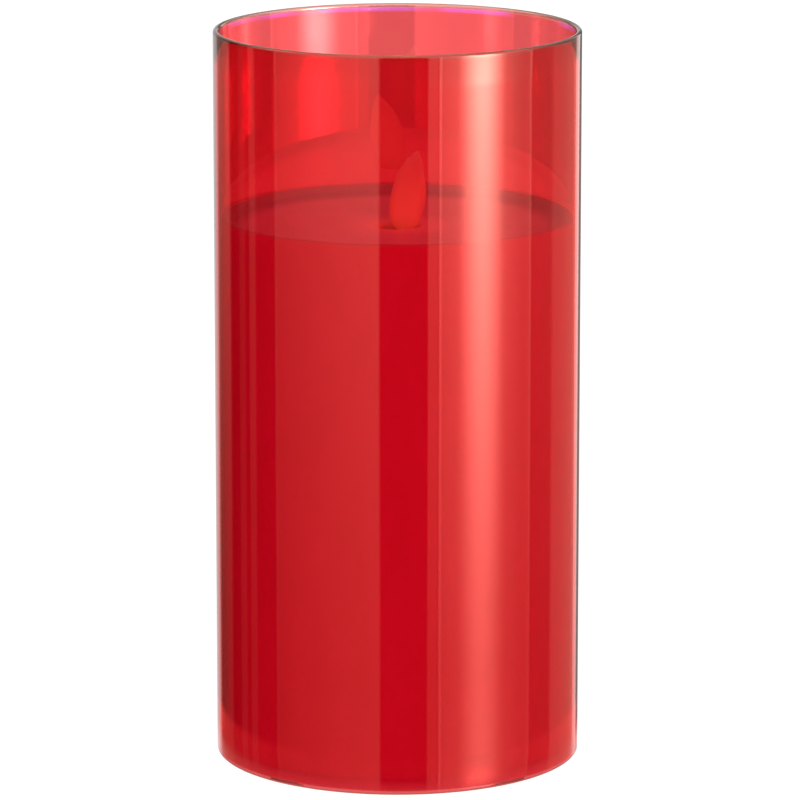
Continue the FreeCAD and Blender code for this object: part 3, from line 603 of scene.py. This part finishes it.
def turned(profile, segments, shift=None):
    """A closed surface of revolution about Z. shift(radius, height, angle) may move each point up or down."""
    points, faces = [], []
    count = len(profile)
    for i in range(segments):
        angle = math.tau * i / segments
        for radius, height in profile:
            lift = shift(radius, height, angle) if shift else 0.0
            points.append((radius * math.cos(angle), radius * math.sin(angle), height + lift))
    for i in range(segments):
        here, there = i * count, (i + 1) % segments * count
        for j in range(count):
            k = (j + 1) % count
            faces.append((here + j, there + j, there + k, here + k))
    return points, faces


def mesh_of(name, points, faces, sharp_angle=35.0):
    mesh = bpy.data.meshes.new(name)
    mesh.from_pydata(points, [], faces)
    shape = bmesh.new()
    shape.from_mesh(mesh)
    bmesh.ops.remove_doubles(shape, verts=shape.verts, dist=1e-7)
    bmesh.ops.recalc_face_normals(shape, faces=shape.faces)
    shape.to_mesh(mesh)
    shape.free()
    for polygon in mesh.polygons:
        polygon.use_smooth = True
    mesh.set_sharp_from_angle(angle=math.radians(sharp_angle))
    return mesh


def glass_tube(material):
    """The tube with its fire-polished, fully rounded mouth and foot."""
    low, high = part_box("glass_cylinder")
    outer = high.x
    inner = outer - GLASS_WALL
    r = GLASS_EDGE
    middle = outer - r
    profile = between((outer, low.z + r), (outer, high.z - r), 24)
    profile += arc_points((middle, high.z - r), r, 0, 180, 14)
    profile += between((inner, high.z - r), (inner, low.z + r), 24)[1:]
    profile += arc_points((middle, low.z + r), r, 180, 360, 14)[:-1]
    points, faces = turned(profile, 384)
    return as_object("glass_tube", mesh_of("glass_tube", points, faces, 80), material, "red_glass", "candle",
                     "glass_cylinder")


def wax_pillar(material):
    """The wax with its crest against the glass, dished pool and softly melted wick hole."""
    low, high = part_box("wax_shell")
    outer = high.x
    crest_round = 0.9 * MM
    crest = high.z
    profile = between((outer, low.z), (outer, crest - crest_round), 20)
    profile += arc_points((outer - crest_round, crest - crest_round), crest_round, 0, 105, 8)
    lip = arc_points((WICK_HOLE_R + WICK_LIP, WAX_POOL - WICK_LIP), WICK_LIP, 90, 180, 8)
    dish = [profile[-1], (45.6 * MM, WAX_POOL + 1.35 * MM), (42.0 * MM, WAX_POOL + 0.62 * MM),
            (32.0 * MM, WAX_POOL + 0.22 * MM), (18.0 * MM, WAX_POOL + 0.04 * MM), lip[0]]
    profile += smooth_curve(dish, 8)[1:-1] + lip
    profile += [(WICK_HOLE_R, COLLAR_POCKET_TOP), (COLLAR_POCKET_R, COLLAR_POCKET_TOP)]
    profile.append((COLLAR_POCKET_R, CAVITY_TOP))
    profile += arc_points((WAX_INNER_R - CAVITY_ROUND, CAVITY_TOP - CAVITY_ROUND), CAVITY_ROUND, 90, 0, 6)
    profile.append((WAX_INNER_R, low.z))

    def melted(radius, height, angle):
        """Slow unevenness of the melted top: a wavy crest and a slightly lopsided pool."""
        if height < WAX_POOL - 0.3 * MM:
            return 0.0
        at = Vector((radius * math.cos(angle), radius * math.sin(angle), 0.0)) / (17 * MM)
        on_crest = max(0.0, min(1.0, (height - WAX_POOL - 0.8 * MM) / (2.0 * MM)))
        lopsided = 0.10 * MM * waves.noise(at)
        wavy = on_crest * 0.22 * MM * (waves.noise(at * 1.3 + Vector((9, 3, 1))) - 0.4)
        return lopsided + wavy

    points, faces = turned(profile, 320, melted)
    return as_object("wax_pillar", mesh_of("wax_pillar", points, faces, 50), material, "wax", "candle",
                     "wax_shell")


def seal_bead(material):
    """The sealant between base and glass: sunk a little below, and drawn up between wax and glass."""
    low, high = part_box("bond_ring")
    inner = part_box("base_housing")[1].x
    outer = high.x - 0.06 * MM
    wax_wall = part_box("wax_shell")[1].x + 0.02 * MM
    profile = smooth_curve([(inner, low.z), ((inner + outer) / 2, low.z + 0.25 * MM), (outer, low.z)], 5)
    profile += smooth_curve([(outer, high.z + 0.5 * MM), (outer - 0.1 * MM, high.z + 0.3 * MM),
                             (wax_wall, high.z + 0.25 * MM)], 5)
    profile += [(wax_wall, high.z - 0.02 * MM), (inner, high.z - 0.02 * MM)]
    points, faces = turned(profile, 384)
    return as_object("seal_bead", mesh_of("seal_bead", points, faces, 50), material, "silicone", "candle",
                     "bond_ring")


def ring_of(centre, across, through, count):
    """Points round an ellipse in a horizontal plane."""
    turns = [math.tau * k / count for k in range(count)]
    return [centre + Vector((across * math.cos(t), through * math.sin(t), 0.0)) for t in turns]


def stacked(rings):
    """A closed skin over a stack of equal rings."""
    points = [p for ring in rings for p in ring]
    count = len(rings[0])
    faces = []
    for i in range(len(rings) - 1):
        for k in range(count):
            j = (k + 1) % count
            faces.append((i * count + k, i * count + j, (i + 1) * count + j, (i + 1) * count + k))
    faces.append(tuple(range(count)))
    faces.append(tuple(reversed([(len(rings) - 1) * count + k for k in range(count)])))
    return points, faces


def flame(material):
    """The blade: a lens-shaped teardrop that hooks a little at its tip, over its eye and its magnet cup."""
    outline = smooth_curve([(w, up) for w, up in TEARDROP], 6)
    last = TEARDROP[-1][1]
    rings = []
    for half, up in outline[1:-1]:
        fullness = min(1.0, half / 3.2) ** 0.7
        hook = HOOK * math.exp(-((up - HOOK_AT) / HOOK_LENGTH) ** 2)
        thick = BLADE_THICK / 2 * fullness * (1.0 - 0.35 * max(0.0, (up - 16.0) / (last - 16.0)))
        rings.append(ring_of(Vector((hook * MM, 0, up * MM)), max(half, 0.05) * MM, thick, 32))
    parts = [stacked(rings)]
    for heights in STEMS:
        parts.append(stacked([ring_of(Vector((0, 0, up * MM)), STEM_ACROSS * MM, STEM_THROUGH * MM, 16)
                              for up in heights]))
    points, faces = turned(arc_points((EYE_R * MM, 0.0), EYE_RIM_R * MM, 0, 330, 11), 40)
    tilt = Matrix.Rotation(math.pi / 2, 4, "X")
    parts.append(([tilt @ Vector(p) for p in points], faces))
    cup = ((CUP_MIDDLE_R, CUP_LOW), (CUP_EDGE_R, CUP_LOW), (CUP_R, CUP_LOW + CUP_EDGE),
           (CUP_R, CUP_HIGH - CUP_EDGE), (CUP_EDGE_R, CUP_HIGH), (CUP_MIDDLE_R, CUP_HIGH))
    points, faces = turned([(r * MM, up * MM) for r, up in cup], 48)
    parts.append(([Vector(p) + Vector((MAGNET_ASIDE * MM, 0, 0)) for p in points], faces))
    points, faces = [], []
    for some_points, some_faces in parts:
        faces += [tuple(len(points) + k for k in face) for face in some_faces]
        points += some_points
    lean = Matrix.Translation(PIVOT) @ Matrix.Rotation(BLADE_LEAN, 4, "Y")
    points = [lean @ Vector(p) for p in points]
    return as_object("flame", mesh_of("flame", points, faces, 60), material, "flame_plastic", "flame",
                     "flame_blade")


def paint_nodes(materials):
    """Every CAD node that stays takes the procedural material of its slot."""
    slots = {row["node"]: row["material_slot"] for row in frame["record"]["subparts"]}
    for name, thing in frame["nodes"].items():
        thing.data.materials.clear()
        thing.data.materials.append(materials[slots[name]])


# ==== studio ==================================================================================
# Each card stands round the object and only gloss sees it. Its numbers are the azimuth of its middle in
# degrees (0 is the front, 90 the right), its half width, how soft its edge is, how bright it is at its low
# and its high end, and how much brighter its right edge is than its middle. The two ends are CARD_LOW and
# CARD_HIGH degrees below the horizon. A card goes on brightening for CARD_PAST degrees above its high end.
CARDS = (
    (-46.9, 35.5, 1.2, 0.52, 1.24, 0.5),
    (-81.8, 0.9, 0.6, 0.13, 0.46, 0.0),
    (-103.3, 3.1, 0.8, 0.17, 0.51, 0.0),
    (-114.2, 3.3, 0.8, 0.14, 0.14, 0.0),
    (-143.0, 13.5, 2.0, 0.15, 0.62, 0.3),
    (-168.0, 14.0, 4.0, 0.95, 1.05, 0.0),
    (22.1, 3.2, 0.7, 0.59, 1.53, 0.0),
    (26.6, 0.9, 0.5, 0.88, 2.54, 0.0),
    (59.1, 32.6, 1.2, 0.82, 1.85, -0.15),
    (54.5, 19.0, 14.0, 0.70, 2.44, 0.0),
    (54.5, 6.5, 11.5, 2.5, 16.2, 0.0),
    (91.5, 0.9, 0.7, 0.5, 1.6, 0.0),
    (103.0, 10.5, 1.0, 0.27, 0.64, 0.0),
    (131.0, 17.5, 1.5, 0.82, 1.07, 0.0),
    (154.5, 5.5, 1.0, 1.35, 2.1, 0.0),
    (166.0, 6.0, 1.5, 0.34, 0.34, 0.0),
    (178.0, 6.0, 1.5, 0.95, 1.0, 0.0),
)
CARD_LOW = 15.0
CARD_HIGH = 9.0
CARD_PAST = 1.0
CARD_TONE = (0.8, 0.8, 0.8)
WHITE = (1.0, 1.0, 1.0)
# what gloss sees far above the horizon, and far below it: where it starts, where it is full, how bright it is
OVERHEAD = (15.0, 35.0, 2.3)
UNDERFOOT = (-20.0, -40.0, 0.95)
# soft light for matt surfaces: how bright the surroundings are at the horizon and overhead
FILL_LEVEL = 1.48
FILL_OVERHEAD = 0.66
# the height above the horizon, in degrees, at which the one starts to turn into the other, and has done so
FILL_START = 8.0
FILL_END = 50.0

# the floor: how much it scatters and glows, and the rings round the foot in which gloss still sees it,
# through the glass and otherwise, each from its full end to its clear end, in metres
FLOOR_HALF = 8.0
FLOOR_TONE = (0.22, 0.22, 0.22)
FLOOR_GLOW = 0.88
SEEN_BY_GLASS = (78 * MM, 86 * MM)
SEEN_BY_GLOSS = (52 * MM, 64 * MM)
SEEN_SHARE = 0.45

# the key light, and the point that it looks at
KEY_AT = Vector((0.26, -0.76, 0.62))
KEY_TARGET = Vector((0, 0, 0.1))
KEY_SIZE = 0.5
KEY_POWER = 4.0


def card(tree, azimuth, rise, middle, half, soft, low, high, tilt):
    """The brightness of one card along a direction; it grows by the same share for each step upwards."""
    aside = maths(tree, "SUBTRACT", azimuth, middle)
    off = maths(tree, "ABSOLUTE", aside)
    share = ranged(tree, off, max(0.0, half - soft), half + soft, 1.0, 0.0, smooth=True)
    if tilt:
        share = product(tree, share, ranged(tree, aside, -half, half, 1.0 - tilt, 1.0 + tilt))
    return product(tree, share, product(tree, maths(tree, "POWER", high / low, rise), low))


def studio_world():
    """White surroundings for the eye, soft light for matt surfaces, and a ring of cards for gloss."""
    world = bpy.data.worlds.new("studio")
    bpy.context.scene.world = world
    world.use_nodes = True
    tree = world.node_tree
    tree.nodes.clear()
    way = axes_of(tree, node(tree, "ShaderNodeTexCoord").outputs["Generated"])
    to_degrees = 180.0 / math.pi
    forward = product(tree, way["Y"], -1.0)
    azimuth = product(tree, maths(tree, "ARCTAN2", way["X"], forward), to_degrees)
    above = product(tree, maths(tree, "ARCSINE", way["Z"]), to_degrees)
    past = 1.0 + CARD_PAST / (CARD_LOW - CARD_HIGH)
    rise = ranged(tree, above, -CARD_LOW, -CARD_HIGH + CARD_PAST, 0.0, past)
    shine = 0.0
    for one in CARDS:
        brightness = card(tree, azimuth, rise, *one)
        shine = brightness if shine == 0.0 else maths(tree, "ADD", shine, brightness)
    for start, end, brightness in (OVERHEAD, UNDERFOOT):
        share = ranged(tree, above, start, end, 0.0, 1.0, smooth=True)
        kept = product(tree, shine, rest_of(tree, share))
        shine = maths(tree, "ADD", kept, product(tree, share, brightness))
    path = node(tree, "ShaderNodeLightPath")
    seen = maths(tree, "MAXIMUM", path.outputs["Is Camera Ray"], path.outputs["Is Transmission Ray"])
    fill = ranged(tree, above, FILL_START, FILL_END, FILL_LEVEL, FILL_OVERHEAD, smooth=True)
    fill = maths(tree, "ADD", product(tree, fill, rest_of(tree, seen)), seen)
    light = node(tree, "ShaderNodeBackground", {"Color": colour_of(WHITE), "Strength": fill})
    cards = node(tree, "ShaderNodeBackground", {"Color": colour_of(CARD_TONE), "Strength": shine})
    by_gloss = maths(tree, "MINIMUM", path.outputs["Glossy Depth"], 1.0)
    both = mixed_shader(tree, by_gloss, light, cards)
    output = tree.nodes.new("ShaderNodeOutputWorld")
    tree.links.new(both.outputs[0], output.inputs[0])


def floor():
    """A plain white floor. Gloss sees through it, except close to the foot, so that the cards show below the
    horizon too. It is clear from below, so that the underside can be seen.
    """
    mesh = bpy.data.meshes.new("floor")
    corners = [(x * FLOOR_HALF, y * FLOOR_HALF, 0) for x, y in ((-1, -1), (1, -1), (1, 1), (-1, 1))]
    mesh.from_pydata(corners, [], [(0, 1, 2, 3)])
    ground = bpy.data.objects.new("floor", mesh)
    bpy.context.scene.collection.objects.link(ground)
    material, tree, output = blank("floor")
    matt = node(tree, "ShaderNodeBsdfDiffuse", {"Color": colour_of(FLOOR_TONE)})
    painted_wick_glow = node(tree, "ShaderNodeEmission", {"Strength": FLOOR_GLOW})
    lit = node(tree, "ShaderNodeAddShader", {0: matt.outputs[0], 1: painted_wick_glow.outputs[0]})
    clear = node(tree, "ShaderNodeBsdfTransparent")
    path = node(tree, "ShaderNodeLightPath")
    by_gloss = maths(tree, "MINIMUM", path.outputs["Glossy Depth"], 1.0)
    by_glass = maths(tree, "MINIMUM", path.outputs["Transmission Depth"], 1.0)
    spread = from_axis(tree, place(tree))
    near_glass = product(tree, by_glass, ranged(tree, spread, *SEEN_BY_GLASS, 1.0, 0.0))
    near_foot = ranged(tree, spread, *SEEN_BY_GLOSS, SEEN_SHARE, 0.0, smooth=True)
    near_foot = maths(tree, "MAXIMUM", near_glass, near_foot)
    unseen = product(tree, by_gloss, rest_of(tree, near_foot))
    from_below = node(tree, "ShaderNodeNewGeometry").outputs["Backfacing"]
    unseen = maths(tree, "MAXIMUM", unseen, from_below)
    both = mixed_shader(tree, unseen, lit, clear)
    tree.links.new(both.outputs[0], output.inputs[0])
    mesh.materials.append(material)


def key_light():
    """A large area light that looks at the candle and doesn't show in its gloss."""
    data = bpy.data.lights.new("key", "AREA")
    data.shape = "DISK"
    data.size = KEY_SIZE
    data.energy = KEY_POWER
    lamp = bpy.data.objects.new("key", data)
    bpy.context.scene.collection.objects.link(lamp)
    lamp.location = KEY_AT
    lamp.rotation_euler = (KEY_TARGET - lamp.location).to_track_quat("-Z", "Y").to_euler()
    lamp.visible_glossy = False
    lamp.visible_transmission = False
    lamp.visible_camera = False


def camera():
    data = bpy.data.cameras.new("camera")
    data.lens = CAMERA_LENS
    data.sensor_width = 36.0
    data.clip_start = 0.05
    data.clip_end = 50.0
    eye = bpy.data.objects.new("camera", data)
    bpy.context.scene.collection.objects.link(eye)
    eye.location = CAMERA_AT
    eye.rotation_euler = (math.radians(90.0 - CAMERA_PITCH), 0.0, 0.0)
    bpy.context.scene.camera = eye


# ==== the scene ===============================================================================
looks = all_materials()
paint_nodes(looks)
glass_tube(looks["red_glass"])
wax_pillar(looks["wax"])
seal_bead(looks["silicone"])
flame(looks["flame_plastic"])
studio_world()
floor()
key_light()
camera()
bpy.context.scene.view_settings.view_transform = "Standard"
